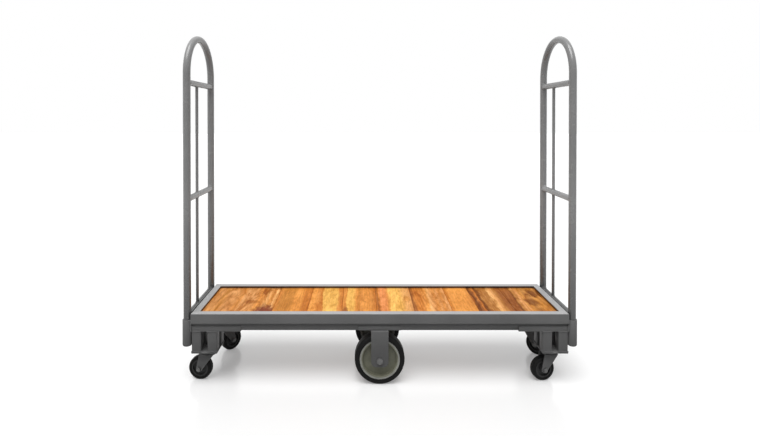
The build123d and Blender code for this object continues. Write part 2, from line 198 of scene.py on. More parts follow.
class FinishNodes(ShaderNodes):
    """A material in the making, with its patterns placed in the cart's frame."""

    def __init__(self, name: str) -> None:
        """Start an empty material.

        Args:
            name: The material's name.
        """
        self.material = bpy.data.materials.new(name)
        self.material.use_nodes = True
        super().__init__(self.material.node_tree)
        self.place = self.add("TexCoord").outputs["Object"]

    def noise(self, scale: float | Triple, detail: float = 2.0, shift: float = 0.0,
              warp: float = 0.0) -> Socket:
        """Sample noise at a scale in waves per metre.

        Args:
            scale: Waves per metre, the same all ways or along X, Y and Z.
            detail: Octaves of finer noise.
            shift: Moves the sample to another part of the noise.
            warp: How far the noise is curled by itself.

        Returns:
            The noise, from 0 to 1.
        """
        scales = scale if isinstance(scale, tuple) else (scale, scale, scale)
        mapping = {"Vector": self.place, "Location": (shift, shift, shift), "Scale": scales}
        stretched = self.add("Mapping", mapping).outputs[0]
        inputs = {"Vector": stretched, "Scale": 1.0, "Detail": detail, "Distortion": warp}
        return self.add("TexNoise", inputs).outputs[0]

    def ramp(self, value: Socket, *stops: tuple[float, Colour | float], smooth: bool = False) -> Socket:
        """Read a colour ramp.

        Args:
            value: Where to read it, from 0 to 1.
            *stops: Places and their colours or greys.
            smooth: Eases between the stops.

        Returns:
            The colour.
        """
        node = self.add("ValToRGB", {0: value})
        node.color_ramp.interpolation = "EASE" if smooth else "LINEAR"
        elements = node.color_ramp.elements
        while len(elements) < len(stops):
            elements.new(1.0)
        for element, (place, tone) in zip(elements, stops):
            element.position = place
            element.color = (*tone, 1.0) if isinstance(tone, tuple) else (tone, tone, tone, 1.0)
        return node.outputs[0]

    def mix(self, share: Value, first: Value, second: Value, blend: str = "MIX") -> Socket:
        """Mix two colours.

        Args:
            share: How much of the second colour.
            first: The colour below, as a socket or RGB.
            second: The colour laid over it.
            blend: The blend type.

        Returns:
            The mixed colour.
        """
        node = self.add("Mix", {0: share}, data_type="RGBA", blend_type=blend)
        for index, colour in ((6, first), (7, second)):
            self.feed(node.inputs[index], (*colour, 1.0) if isinstance(colour, tuple) else colour)
        return node.outputs[2]

    def tint(self, colour: Socket, shade: Value) -> Socket:
        """Multiply a colour by a shade.

        Args:
            colour: The colour.
            shade: The shade, as a socket or RGB.

        Returns:
            The shaded colour.
        """
        return self.mix(1.0, colour, shade, "MULTIPLY")

    def bump(self, height: Socket, depth: float) -> Socket:
        """Turn a height into a normal.

        Args:
            height: The height, from 0 to 1.
            depth: What 1 stands for, in metres.

        Returns:
            The normal.
        """
        return self.add("Bump", {"Height": height, "Distance": depth}).outputs[0]

    def finish(self, **inputs: Value) -> Material:
        """Close the material with its surface shader.

        Args:
            **inputs: The shader's inputs, with underscores for spaces.

        Returns:
            The finished material.
        """
        named = {key.replace("_", " "): value for key, value in inputs.items()}
        shader = self.add("BsdfPrincipled", named)
        self.add("OutputMaterial", {"Surface": shader.outputs[0]})
        return self.material


@dataclass(frozen=True)
class SteelPaint:
    """Grey paint sprayed on steel, with a fine peel, faint clouds and scuffs.

    Its upper faces can carry a painted highlight, and it can be darkened toward the bottom as painted shade.
    """

    name: str
    tone: float
    roughness: float = 0.46
    gloss: float = 0.25
    ior: float = 1.5
    painted_top_sheen: float = 0.0
    top_sheen_span: Pair = (0.284, 0.29)
    painted_low_shade: float = 1.0
    low_shade_span: Pair = (0.13, 0.28)
    cloud_scale: float = 7.0
    scuff_scale: float = 45.0
    scuff_share: float = 0.16
    peel_scale: float = 620.0
    peel_depth: float = 0.00006

    def material(self) -> Material:
        """Make the paint.

        Returns:
            The material.
        """
        nodes = FinishNodes(self.name)
        clouds = nodes.noise(self.cloud_scale, 4.0, 2.0)
        peel = nodes.noise(self.peel_scale, 1.0)
        scuffs = nodes.ramp(nodes.noise(self.scuff_scale, 6.0, 5.0), (0.6, 0.0), (0.72, 1.0))
        colour = nodes.ramp(clouds, (0.3, 0.9 * self.tone), (0.7, 1.1 * self.tone))
        worn = 1.3 * self.tone + 0.02
        colour = nodes.mix(nodes.sum("MULTIPLY", scuffs, self.scuff_share), colour, (worn, worn, worn))
        height = nodes.split(nodes.place)[2]
        # Painted highlight: upward-facing faces above a given height are lightened to stand for the gloss on them,
        # made patchy by the clouds.
        if self.painted_top_sheen:
            facing = nodes.split(nodes.add("NewGeometry").outputs["Normal"])[2]
            top = nodes.ranged(facing, 0.6, 0.96)
            upper = nodes.sum("MULTIPLY", top, nodes.ranged(height, *self.top_sheen_span))
            patchy = nodes.sum("MULTIPLY_ADD", clouds, 0.4, 0.78)
            share = nodes.sum("MINIMUM", nodes.sum("MULTIPLY", upper, patchy), 1.0)
            colour = nodes.mix(share, colour, (self.painted_top_sheen, self.painted_top_sheen, self.painted_top_sheen))
        # Painted shade: the colour darkens toward the bottom, down to the given share of its tone at the span's
        # low end.
        if self.painted_low_shade < 1.0:
            colour = nodes.tint(colour, nodes.ranged(height, *self.low_shade_span, self.painted_low_shade))
        rough = nodes.sum("MULTIPLY_ADD", clouds, 0.16, self.roughness - 0.08)
        rough = nodes.sum("MULTIPLY_ADD", scuffs, 0.08, rough)
        return nodes.finish(
            Base_Color=colour,
            Roughness=rough,
            IOR=self.ior,
            Specular_IOR_Level=self.gloss,
            Normal=nodes.bump(peel, self.peel_depth),
        )


class WoodTone(Enum):
    """Tones of the varnished hardwood."""

    PALE = (0.98, 0.55, 0.135)
    CREAM = (0.97, 0.51, 0.18)
    BLUSH = (0.83, 0.385, 0.13)
    HONEY = (0.92, 0.385, 0.087)
    ROSE = (0.92, 0.345, 0.115)
    AMBER = (0.79, 0.315, 0.071)
    TAN = (0.68, 0.28, 0.056)
    FAWN = (0.51, 0.21, 0.05)
    RUSSET = (0.66, 0.225, 0.04)
    CHESTNUT = (0.47, 0.15, 0.025)
    BROWN = (0.38, 0.128, 0.03)
    UMBER = (0.21, 0.063, 0.011)
    EMBER = (0.25, 0.06, 0.022)


@dataclass(frozen=True)
class Stain:
    """A dark or pale cloud in a board, such as a knot or a patch of heartwood."""

    place: Pair
    reach: Pair
    tone: WoodTone
    depth: float = 0.9
    torn: float = 1.0

    def over(self, nodes: FinishNodes, colour: Socket, spot: tuple[Socket, Socket],
             ragged: Socket) -> Socket:
        """Lay the stain over a board.

        Args:
            nodes: The material's nodes.
            colour: The colour so far.
            spot: Where across the deck and along the board.
            ragged: What tears its edge.

        Returns:
            The stained colour.
        """
        away = [nodes.sum("DIVIDE", nodes.sum("SUBTRACT", value, middle), reach)
                for value, middle, reach in zip(spot, self.place, self.reach)]
        edge = nodes.sum("MULTIPLY_ADD", ragged, self.torn, nodes.length(*away))
        share = nodes.ramp(edge, (0.35, self.depth), (1.1, 0.0), smooth=True)
        return nodes.mix(share, colour, self.tone.value)


@dataclass(frozen=True)
class BoardWood:
    """One plank: streaks of sapwood and heartwood across it, growth rings, fibres and pores.

    Scales are waves per metre along X, Y and Z, and a board runs along Y.
    """

    number: int
    streaks: tuple[tuple[float, WoodTone], ...]
    pith: Pair
    arch: Pair
    ring: float
    grain: float
    figure: float
    stains: tuple[Stain, ...] = ()
    apart: float = 3.7
    wander_scale: Triple = (4.5, 1.7, 4.5)
    wander_bend: float = 0.05
    ripple_scale: Triple = (26.0, 6.0, 26.0)
    ripple_bend: float = 0.016
    flame_scale: Triple = (30.0, 9.0, 30.0)
    flame_bend: float = 0.022
    curl_scale: Triple = (95.0, 24.0, 95.0)
    drift_scale: Triple = (6.0, 5.0, 6.0)
    fibre_scale: Triple = (380.0, 5.0, 380.0)
    pore_scale: Triple = (1100.0, 26.0, 1100.0)
    pore_tone: Colour = (0.22, 0.08, 0.02)
    late_wood: Colour = (0.76, 0.63, 0.47)
    relief: float = 0.00025

    def material(self) -> Material:
        """Make the wood.

        Returns:
            The material.
        """
        nodes = FinishNodes(f"board_wood_{self.number:02d}")
        shift = self.apart * self.number
        across, along, _ = nodes.split(nodes.place)
        wander = nodes.sum("SUBTRACT", nodes.noise(self.wander_scale, 2.0, shift), 0.5)
        ripple = nodes.sum("SUBTRACT", nodes.noise(self.ripple_scale, 2.0, shift), 0.5)
        flame = nodes.noise(self.flame_scale, 3.0, shift + 40.0, 1.4)
        curl = nodes.noise(self.curl_scale, 3.0, shift + 60.0, 0.8)
        drift = nodes.noise(self.drift_scale, 1.0, shift + 80.0)
        licks = nodes.sum("SUBTRACT", flame, 0.5)
        bent = nodes.sum("MULTIPLY_ADD", wander, self.wander_bend, across)
        bent = nodes.sum("MULTIPLY_ADD", ripple, self.ripple_bend, bent)
        low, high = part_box(f"deck_board_{self.number:02d}")
        stops = [((place - low.x) / (high.x - low.x), tone.value) for place, tone in self.streaks]
        share = nodes.ranged(nodes.sum("MULTIPLY_ADD", licks, self.flame_bend, bent), low.x, high.x)
        colour = nodes.ramp(share, *stops)
        ragged = nodes.sum("MULTIPLY_ADD", licks, 1.3, nodes.sum("MULTIPLY", wander, 0.5))
        ragged = nodes.sum("MULTIPLY_ADD", nodes.sum("SUBTRACT", curl, 0.5), 0.9, ragged)
        for stain in self.stains:
            colour = stain.over(nodes, colour, (across, along), ragged)
        licked = ((0.32, (0.74, 0.62, 0.46)), (0.5, (1.0, 1.0, 1.0)), (0.7, (1.16, 1.28, 1.5)))
        colour = nodes.mix(self.figure, colour, nodes.tint(colour, nodes.ramp(flame, *licked)))
        curled = nodes.ramp(curl, (0.34, (0.89, 0.83, 0.76)), (0.64, (1.12, 1.15, 1.2)))
        drifted = nodes.ramp(drift, (0.35, (0.92, 0.88, 0.82)), (0.65, (1.08, 1.1, 1.12)))
        colour = nodes.tint(nodes.tint(colour, curled), drifted)
        rings = self.rings(nodes, bent, along, ripple)
        shaded = nodes.tint(colour, self.late_wood)
        colour = nodes.mix(nodes.sum("MULTIPLY", rings, self.grain), colour, shaded)
        fibres = nodes.noise(self.fibre_scale, 5.0, shift)
        combed = ((0.3, (0.91, 0.88, 0.84)), (0.5, (1.0, 1.0, 1.0)), (0.72, (1.07, 1.08, 1.1)))
        colour = nodes.tint(colour, nodes.ramp(fibres, *combed))
        pores = nodes.ramp(nodes.noise(self.pore_scale, 1.0, shift), (0.6, 0.0), (0.7, 1.0))
        colour = nodes.mix(nodes.sum("MULTIPLY", pores, 0.2), colour, self.pore_tone)
        height = nodes.sum("MULTIPLY_ADD", pores, -0.8, fibres)
        return nodes.finish(
            Base_Color=colour,
            Roughness=nodes.sum("MULTIPLY_ADD", fibres, 0.2, 0.42),
            Specular_IOR_Level=0.05,
            Normal=nodes.bump(height, self.relief),
        )

    def rings(self, nodes: FinishNodes, bent: Socket, along: Socket, ripple: Socket) -> Socket:
        """Cut the growth rings with the board's face, which arches where the log is cut aslant.

        Args:
            nodes: The material's nodes.
            bent: The place across the deck, bent by the grain.
            along: The place along the board.
            ripple: Small waves in the grain.

        Returns:
            How far into a ring's dark late wood, from 0 to 1.
        """
        beside = nodes.sum("SUBTRACT", bent, self.pith[0])
        below = nodes.sum("MULTIPLY_ADD", along, self.arch[1], self.pith[1] - self.arch[0] * self.arch[1])
        turns = nodes.sum("DIVIDE", nodes.length(beside, below), self.ring)
        phase = nodes.sum("FRACT", nodes.sum("MULTIPLY_ADD", ripple, 0.9, turns))
        return nodes.ramp(phase, (0.0, 0.35), (0.3, 0.0), (0.55, 0.25), (0.82, 1.0), (1.0, 0.35))


@dataclass(frozen=True)
class TyreRubber:
    """Black rubber with a chalky bloom and trodden dust."""

    name: str = "tyre_rubber"
    tone: Colour = (0.006, 0.006, 0.006)
    bloomed: Colour = (0.014, 0.014, 0.0135)
    dust: Colour = (0.12, 0.115, 0.1)
    dust_share: float = 0.1
    grit_depth: float = 0.0001

    def material(self) -> Material:
        """Make the rubber.

        Returns:
            The material.
        """
        nodes = FinishNodes(self.name)
        bloom = nodes.noise(38.0, 5.0)
        grit = nodes.noise(900.0, 2.0)
        dusty = nodes.ramp(nodes.noise(120.0, 6.0, 4.0), (0.58, 0.0), (0.75, 1.0))
        colour = nodes.ramp(bloom, (0.3, self.tone), (0.75, self.bloomed))
        colour = nodes.mix(nodes.sum("MULTIPLY", dusty, self.dust_share), colour, self.dust)
        return nodes.finish(
            Base_Color=colour,
            Roughness=nodes.sum("MULTIPLY_ADD", bloom, 0.2, 0.5),
            Specular_IOR_Level=0.12,
            Normal=nodes.bump(grit, self.grit_depth),
        )


@dataclass(frozen=True)
class HubPlastic:
    """Dark grey moulded plastic with a fine spark-etched grain."""

    name: str
    tone: Colour
    etch_depth: float = 0.00008

    def material(self) -> Material:
        """Make the plastic.

        Returns:
            The material.
        """
        nodes = FinishNodes(self.name)
        etch = nodes.noise(1400.0, 2.0)
        flow = nodes.noise(30.0, 3.0)
        bright = tuple(1.35 * part for part in self.tone)
        return nodes.finish(
            Base_Color=nodes.ramp(flow, (0.3, self.tone), (0.75, bright)),
            Roughness=nodes.sum("MULTIPLY_ADD", etch, 0.2, 0.42),
            Specular_IOR_Level=0.3,
            Normal=nodes.bump(etch, self.etch_depth),
        )


@dataclass(frozen=True)
class ZincPlate:
    """Zinc plating on fasteners, a little clouded."""

    name: str = "zinc_plate"
    tone: Colour = (0.17, 0.17, 0.168)
    tool_depth: float = 0.00005

    def material(self) -> Material:
        """Make the plating.

        Returns:
            The material.
        """
        nodes = FinishNodes(self.name)
        cloud = nodes.noise(160.0, 4.0)
        tool = nodes.noise((900.0, 900.0, 2500.0), 2.0)
        dull = tuple(0.7 * part for part in self.tone)
        return nodes.finish(
            Base_Color=nodes.ramp(cloud, (0.3, dull), (0.7, self.tone)),
            Metallic=0.5,
            Roughness=nodes.sum("MULTIPLY_ADD", cloud, 0.25, 0.28),
            Normal=nodes.bump(tool, self.tool_depth),
        )


@dataclass(frozen=True)
class CastCore:
    """An olive-grey painted casting whose rim is turned bright, and whose inner side is darkened as painted shade.
    """

    name: str = "cast_core"
    web: Colour = (0.26, 0.26, 0.19)
    rim: Colour = (0.54, 0.545, 0.49)
    rim_inner: float = 0.0745
    height: float = 0.1016
    wheel_y: float = 0.1425
    painted_inner_shade: float = 0.22
    rim_edge: float = 0.001
    side_edge: float = 0.004
    lathe_pitch: float = 9000.0
    sand_depth: float = 0.00008

    def material(self) -> Material:
        """Make the casting.

        Returns:
            The material.
        """
        nodes = FinishNodes(self.name)
        x, y, z = nodes.split(nodes.place)
        radius = nodes.length(x, nodes.sum("SUBTRACT", z, self.height))
        sand = nodes.noise(520.0, 3.0)
        cloud = nodes.noise(24.0, 4.0)
        turned = nodes.ranged(radius, self.rim_inner - self.rim_edge, self.rim_inner + self.rim_edge)
        lathe = nodes.sum("SINE", nodes.sum("MULTIPLY", radius, self.lathe_pitch))
        dull = tuple(0.62 * part for part in self.web)
        paint = nodes.ramp(cloud, (0.3, dull), (0.72, self.web))
        tarnish = tuple(0.72 * part for part in self.rim)
        metal = nodes.ramp(cloud, (0.35, tarnish), (0.7, self.rim))
        # Painted shade: the wheel's side toward the cart's middle is darkened.
        aside = nodes.sum("ABSOLUTE", y)
        inner, outer = self.wheel_y - self.side_edge, self.wheel_y + self.side_edge
        inner_shade_mask = nodes.ranged(aside, inner, outer, self.painted_inner_shade)
        rough = nodes.sum("MULTIPLY_ADD", cloud, 0.2, 0.42)
        return nodes.finish(
            Base_Color=nodes.tint(nodes.mix(turned, paint, metal), inner_shade_mask),
            Roughness=nodes.sum("MULTIPLY_ADD", turned, -0.16, rough),
            Normal=nodes.bump(nodes.mix(turned, sand, lathe), self.sand_depth),
        )


class Shell:
    """A piece in the making: closed shells gathered into one mesh."""

    def __init__(self) -> None:
        """Start with nothing."""
        self.whole = bmesh.new()

    def take(self, part: Mesh, place: Matrix | None = None) -> None:
        """Move a shell to its place and gather it in.

        Args:
            part: The shell, which is used up.
            place: Where it goes.
        """
        if place is not None:
            bmesh.ops.transform(part, matrix=place, verts=part.verts)
        bmesh.ops.remove_doubles(part, verts=part.verts, dist=SHELL_MERGE)
        bmesh.ops.recalc_face_normals(part, faces=part.faces)
        scratch = bpy.data.meshes.new("scratch")
        part.to_mesh(scratch)
        part.free()
        self.whole.from_mesh(scratch)
        bpy.data.meshes.remove(scratch)

    def finish(self, name: str, material: Material, body: str, slot: str,
               replaced: tuple[str, ...] = (), crease: float = 38.0) -> None:
        """Make the object and set it on its body.

        Args:
            name: The piece's name.
            material: Its finish.
            body: The body it moves with.
            slot: The record's material slot; not used.
            replaced: The CAD nodes it stands for.
            crease: The angle from which an edge stays sharp, in degrees.
        """
        mesh = bpy.data.meshes.new(name)
        self.whole.to_mesh(mesh)
        self.whole.free()
        mesh.polygons.foreach_set("use_smooth", [True] * len(mesh.polygons))
        mesh.set_sharp_from_angle(angle=math.radians(crease))
        mesh.materials.append(material)
        piece = bpy.data.objects.new(name, mesh)
        bpy.context.scene.collection.objects.link(piece)
        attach(piece, body)
        if replaced:
            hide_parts(*replaced)
        log.info("%s: %d faces on %s", name, len(mesh.polygons), body)


def level(edge: bmesh.types.BMEdge) -> bool:
    """Whether an edge lies square to Z.

    Args:
        edge: The edge.

    Returns:
        True if it does.
    """
    return abs(edge.verts[0].co.z - edge.verts[1].co.z) < LEVEL


def spun(part: Mesh, steps: int) -> Mesh:
    """Spin a section all the way round Z.

    Args:
        part: The section in the XZ plane.
        steps: Steps round.

    Returns:
        The same mesh, now a ring.
    """
    rim = [edge for edge in part.edges if len(edge.link_faces) < 2]
    bmesh.ops.delete(part, geom=part.faces[:], context="FACES_ONLY")
    geom = part.verts[:] + rim
    bmesh.ops.spin(part, geom=geom, axis=(0.0, 0.0, 1.0), angle=2 * math.pi, steps=steps, use_merge=True)
    return part


def section(inner: float, outer: float, width: float) -> Mesh:
    """Draw an oblong section for a ring about Z.

    Args:
        inner: The ring's inner radius.
        outer: Its outer radius.
        width: Its width along Z.

    Returns:
        The section, in the XZ plane.
    """
    place = Matrix.Translation(((outer + inner) / 2, 0.0, 0.0)) @ Matrix.Rotation(math.pi / 2, 4, "X")
    place = place @ Matrix.Diagonal((outer - inner, width, 1.0, 1.0))
    part = bmesh.new()
    bmesh.ops.create_grid(part, x_segments=1, y_segments=1, size=0.5, matrix=place)
    return part


def disc(radius: float, length: float, facets: int, eased: float = 0.0) -> Mesh:
    """Make a round or many-sided bar along Z with its end edges eased.

    Args:
        radius: The radius at its corners.
        length: Its length, centred on the origin.
        facets: Sides.
        eased: The bevel at its ends.

    Returns:
        The bar.
    """
    part = bmesh.new()
    bmesh.ops.create_cone(
        part, cap_ends=True, cap_tris=False, segments=facets, radius1=radius, radius2=radius, depth=length
    )
    if eased:
        ends = [edge for edge in part.edges if level(edge)]
        bmesh.ops.bevel(
            part, geom=ends, offset=eased, segments=2, profile=0.5,
            affect="EDGES", material=-1, clamp_overlap=True,
        )
    return part


def turned(axis: Triple) -> Matrix:
    """A turn that takes +Z to an axis.

    Args:
        axis: The axis.

    Returns:
        The turn.
    """
    return Vector(axis).to_track_quat("Z", "Y").to_matrix().to_4x4()


@dataclass(frozen=True)
class WeldBead:
    """Weld metal laid in small ripples."""

    size: float = 0.0026
    ripple: float = 0.14
    pitch: float = 0.0032
    facets: int = 8
    ripple_steps: int = 4

    def ring(self, radius: float, saddle: float) -> Mesh:
        """A bead round the end of a tube along Z that meets a round tube along X.

        Args:
            radius: The ended tube's radius.
            saddle: The other tube's radius, whose axis lies at Z = 0 below the bead.

        Returns:
            The bead.
        """
        waves = max(8, round(2 * math.pi * radius / self.pitch))
        place = Matrix.Translation((radius, 0.0, 0.0)) @ Matrix.Rotation(math.pi / 2, 4, "X")
        part = bmesh.new()
        bmesh.ops.create_circle(part, segments=self.facets, radius=self.size, matrix=place)
        spun(part, self.ripple_steps * waves)
        for vertex in part.verts:
            angle = math.atan2(vertex.co.y, vertex.co.x)
            core = Vector((radius * math.cos(angle), radius * math.sin(angle), 0.0))
            swell = 1.0 + self.ripple * math.cos(waves * angle)
            vertex.co = core + (vertex.co - core) * swell
            vertex.co.z += math.sqrt(max(saddle * saddle - core.y * core.y, 0.0))
        return part

    def bar(self, start: Vector, end: Vector) -> tuple[Mesh, Matrix]:
        """A straight bead.

        Args:
            start: Its first end.
            end: Its other end.

        Returns:
            The bead along Z, and its place.
        """
        run = end - start
        part = disc(self.size, run.length, self.facets)
        sides = [edge for edge in part.edges if not level(edge)]
        waves = max(3, round(run.length / self.pitch))
        cuts = self.ripple_steps * waves - 1
        bmesh.ops.subdivide_edges(part, edges=sides, cuts=cuts, use_grid_fill=True)
        for vertex in part.verts:
            share = vertex.co.z / run.length + 0.5
            swell = 1.0 + self.ripple * math.cos(2 * math.pi * waves * share)
            vertex.co.x *= swell
            vertex.co.y *= swell
        return part, Matrix.Translation((start + end) / 2) @ turned(run.normalized())


@dataclass
class Handles:
    """The two hoop handles: their welds, on the CAD tubes."""

    paint: Material
    post_x: float = 0.78105
    post_y: float = 0.15895
    post_radius: float = 0.015
    rung_radius: float = 0.0127
    spindle_radius: float = 0.00635
    spindle_y: float = 0.037
    rungs: Triple = (0.2762, 0.750125, 1.22405)
    rung_bead: WeldBead = WeldBead()
    spindle_bead: WeldBead = WeldBead(size=0.0018, ripple=0.12, pitch=0.0026)

    def build(self) -> None:
        """Weld the ends of both handles' rungs and spindles."""
        across = Matrix.Rotation(math.pi / 2, 4, "Z")
        lower, middle, upper = self.rungs
        for name, end in ENDS.items():
            shell = Shell()
            x = end * self.post_x
            for z, side in product(self.rungs, (-1, 1)):
                place = Matrix.Translation((x, side * self.post_y, z))
                place = place @ Matrix.Rotation(side * math.pi / 2, 4, "X") @ across
                shell.take(self.rung_bead.ring(self.rung_radius, self.post_radius), place)
            for z, up in ((lower, 1), (middle, -1), (middle, 1), (upper, -1)):
                place = Matrix.Translation((x, end * self.spindle_y, z)) @ across
                if up < 0:
                    place = place @ Matrix.Rotation(math.pi, 4, "X")
                shell.take(self.spindle_bead.ring(self.spindle_radius, self.rung_radius), place)
            shell.finish(f"{name}_handle_welds", self.paint, f"{name}_handle", "handle_paint")


@dataclass
class DeckFrame:
    """The deck's steel: rounded copies of its sharp-edged pieces, and their welds."""

    paint: Material
    half_length: float = 0.762
    post_y: float = 0.15895
    saddle_half: float = 0.012
    saddle_low: float = 0.2162
    saddle_high: float = 0.2632
    riser_tube: float = 0.038
    riser_x: float = 0.71
    caster_y: float = 0.118
    riser_step: Pair = (0.064, 0.064)
    riser_low: float = 0.133
    riser_high: float = 0.2162
    tube_round: float = 0.003
    plate_round: float = 0.0012
    bracket_round: float = 0.0015
    bar_round: float = 0.0008
    socket_bead: WeldBead = WeldBead()
    socket_bead_out: float = 0.0006
    socket_bead_end: float = 0.002
    riser_bead: WeldBead = WeldBead(size=0.0024)
    riser_bead_in: float = 0.0008

    def build(self) -> None:
        """Make the rounded pieces and the welds."""
        ease = partial(rounded, paint=self.paint, body=FRAME_BODY, slot="frame_paint")
        for name in ENDS:
            ease(f"{name}_riser_legs", self.tube_round, axis=Axis.Z)
            ease(f"{name}_bolster_plate", self.plate_round)
        for name in SIDES:
            ease(f"{name}_stringer", self.tube_round, axis=Axis.X)
            ease(f"{name}_centre_bracket", self.bracket_round, ringed=True)
        ease("centre_doubler_bars", self.bar_round)
        ease("centre_cross_bearers", self.tube_round, axis=Axis.Y)
        for name in CORNERS:
            ease(f"{name}_socket", self.bar_round)
        self.socket_welds()
        self.riser_welds()

    def socket_welds(self) -> None:
        """Run a bead down both sides of each socket's saddle."""
        shell = Shell()
        low = self.saddle_low + self.socket_bead_end
        high = self.saddle_high - self.socket_bead_end
        for (end, side), edge in product(CORNERS.values(), (-1, 1)):
            x = end * (self.half_length + self.socket_bead_out)
            y = side * self.post_y + edge * self.saddle_half
            shell.take(*self.socket_bead.bar(Vector((x, y, low)), Vector((x, y, high))))
        shell.finish("socket_welds", self.paint, FRAME_BODY, "frame_paint")

    def riser_welds(self) -> None:
        """Run a bead round the foot and the head of each riser leg."""
        shell = Shell()
        reach = self.riser_tube / 2
        corners = [(-reach, -reach), (reach, -reach), (reach, reach), (-reach, reach)]
        heights = (self.riser_low + self.riser_bead_in, self.riser_high - self.riser_bead_in)
        for (end, side), right, back, z in product(CORNERS.values(), (-0.5, 0.5), (-0.5, 0.5), heights):
            x = end * self.riser_x + right * self.riser_step[0]
            y = side * self.caster_y + back * self.riser_step[1]
            points = [Vector((x + dx, y + dy, z)) for dx, dy in corners]
            for start, stop in zip(points, points[1:] + points[:1]):
                shell.take(*self.riser_bead.bar(start, stop))
        shell.finish("riser_welds", self.paint, FRAME_BODY, "frame_paint")


def runs(edge: bmesh.types.BMEdge, axis: Axis) -> bool:
    """Whether an edge is a tube's outer corner, and not a facet of a hole's rim.

    Args:
        edge: The edge.
        axis: The way the tube runs.

    Returns:
        True if it is.
    """
    span = edge.verts[0].co - edge.verts[1].co
    along = abs(span[axis.value]) > PARALLEL * span.length
    return edge.is_convex and span.length > SHORTEST and along


def flat_regions(part: Mesh, narrowest: float) -> list[list[bmesh.types.BMFace]]:
    """Group the faces that lie in one plane, leaving out lone quads and narrow strips.

    Args:
        part: The mesh.
        narrowest: The least area that a region has for each metre of its rim.

    Returns:
        The regions.
    """
    left = dict.fromkeys(part.faces)
    regions = []
    while left:
        region = [next(iter(left))]
        del left[region[0]]
        for face in region:
            flat = [edge for edge in face.edges if edge.is_manifold and edge.calc_face_angle(0.0) < FLAT]
            for other in (other for edge in flat for other in edge.link_faces):
                if other in left:
                    del left[other]
                    region.append(other)
        inside = set(region)
        edges = dict.fromkeys(edge for face in region for edge in face.edges)
        rim = sum(edge.calc_length() for edge in edges if not inside.issuperset(edge.link_faces))
        wide = sum(face.calc_area() for face in region) > narrowest * rim
        if wide and (len(region) > 1 or len(region[0].verts) > 4):
            regions.append(region)
    return regions


def rounded(node: str, width: float, paint: Material, body: str, slot: str,
            axis: Axis | None = None, ringed: bool = False) -> None:
    """Copy a CAD node with its sharp edges rounded, to stand for it.

    Args:
        node: The CAD node.
        width: The width of the rounding.
        paint: Its finish.
        body: The body it moves with.
        slot: The record's material slot.
        axis: The way a tube runs, to round only its outer corners.
        ringed: Whether flat regions get a ring of quads inside their rims, which leaves the rounding room.
    """
    part = bmesh.new()
    part.from_mesh(frame["nodes"][node].data)
    bmesh.ops.remove_doubles(part, verts=part.verts, dist=CAD_MERGE)
    bmesh.ops.dissolve_limit(part, angle_limit=FLAT, verts=part.verts, edges=part.edges)
    if ringed:
        ring = RING * width
        part.normal_update()
        for region in flat_regions(part, 1.1 * ring):
            bmesh.ops.inset_region(
                part, faces=region, thickness=ring, use_boundary=True, use_even_offset=True
            )
        part.normal_update()
    sharp = [edge for edge in part.edges if edge.is_manifold and edge.calc_face_angle(0.0) > SHARP]
    chosen = [edge for edge in sharp if axis is None or runs(edge, axis)]
    bmesh.ops.bevel(
        part, geom=chosen, offset=width, segments=3, profile=0.5,
        affect="EDGES", material=-1, clamp_overlap=True,
    )
    shell = Shell()
    shell.take(part)
    shell.finish(f"{node}_rounded", paint, body, slot, (node,), ROUNDED_CREASE)


@dataclass(frozen=True)
class Fastener:
    """A hexagon bolt and its nut, in the sizes of the CAD ones."""

    radius: float
    across_flats: float
    head: float
    nut: float
    past_nut: float
    chamfer: float = 0.0011
    point: float = 0.0009

    def along(self, shell: Shell, place: Matrix, low: float, high: float) -> None:
        """Set a bolt and nut on an axis: head at the high end, nut at the low end.

        Args:
            shell: The piece to add them to.
            place: Takes +Z to the bolt's axis.
            low: Where the nut bears.
            high: Where the head bears.
        """
        corner = self.across_flats / math.sqrt(3)
        tail = low - self.nut - self.past_nut
        for part, height in (
            (disc(corner, self.head, 6, self.chamfer), high + self.head / 2),
            (disc(corner, self.nut, 6, self.chamfer), low - self.nut / 2),
            (disc(self.radius, high - tail, ROUND_FACETS, self.point), (high + tail) / 2),
        ):
            shell.take(part, place @ Matrix.Translation((0, 0, height)))


SMALL_BOLT = Fastener(radius=0.005, across_flats=0.016, head=0.0064, nut=0.008, past_nut=0.002)


@dataclass(frozen=True)
class WheelForm:
    """A wheel's sizes, as the CAD ones."""

    radius: float
    tread: float
    tyre_depth: float
    shoulder: float
    sleeve: float
    hub_half: float
    leg: float
    bond: float = 0.0001
    groove: float = 0.0008

    def tyre(self, place: Matrix) -> Shell:
        """Spin a tyre, with rounded shoulders and a moulding groove in each side.

        Args:
            place: Takes +Z to the axle.

        Returns:
            The tyre.
        """
        inner = self.radius - self.tyre_depth + self.bond
        part = section(inner, self.radius, self.tread)
        outer = [vertex for vertex in part.verts if vertex.co.x > self.radius - 1e-6]
        bmesh.ops.bevel(
            part, geom=outer, offset=self.shoulder, segments=10, profile=0.5,
            affect="VERTICES", material=-1,
        )
        walls = [edge for edge in part.edges if level(edge)
                 and abs(edge.verts[0].co.x - edge.verts[1].co.x) > 0.001]
        cut = bmesh.ops.subdivide_edges(part, edges=walls, cuts=7)
        for vertex in cut["geom_inner"]:
            if isinstance(vertex, bmesh.types.BMVert):
                share = (vertex.co.x - inner) / (self.radius - self.shoulder - inner)
                if abs(share - 0.5) < 0.1:
                    vertex.co.z -= math.copysign(self.groove, vertex.co.z)
        shell = Shell()
        shell.take(spun(part, TYRE_FACETS), place)
        return shell

    def axle(self, bolt: Fastener, place: Matrix) -> Shell:
        """Make the bolt, nut and sleeve that the wheel runs on.

        Args:
            bolt: The axle bolt.
            place: Takes +Z to the axle.

        Returns:
            The axle.
        """
        shell = Shell()
        outer = self.hub_half + self.leg
        bolt.along(shell, place, -outer, outer)
        shell.take(spun(section(bolt.radius, self.sleeve, 2 * self.hub_half), ROUND_FACETS), place)
        return shell


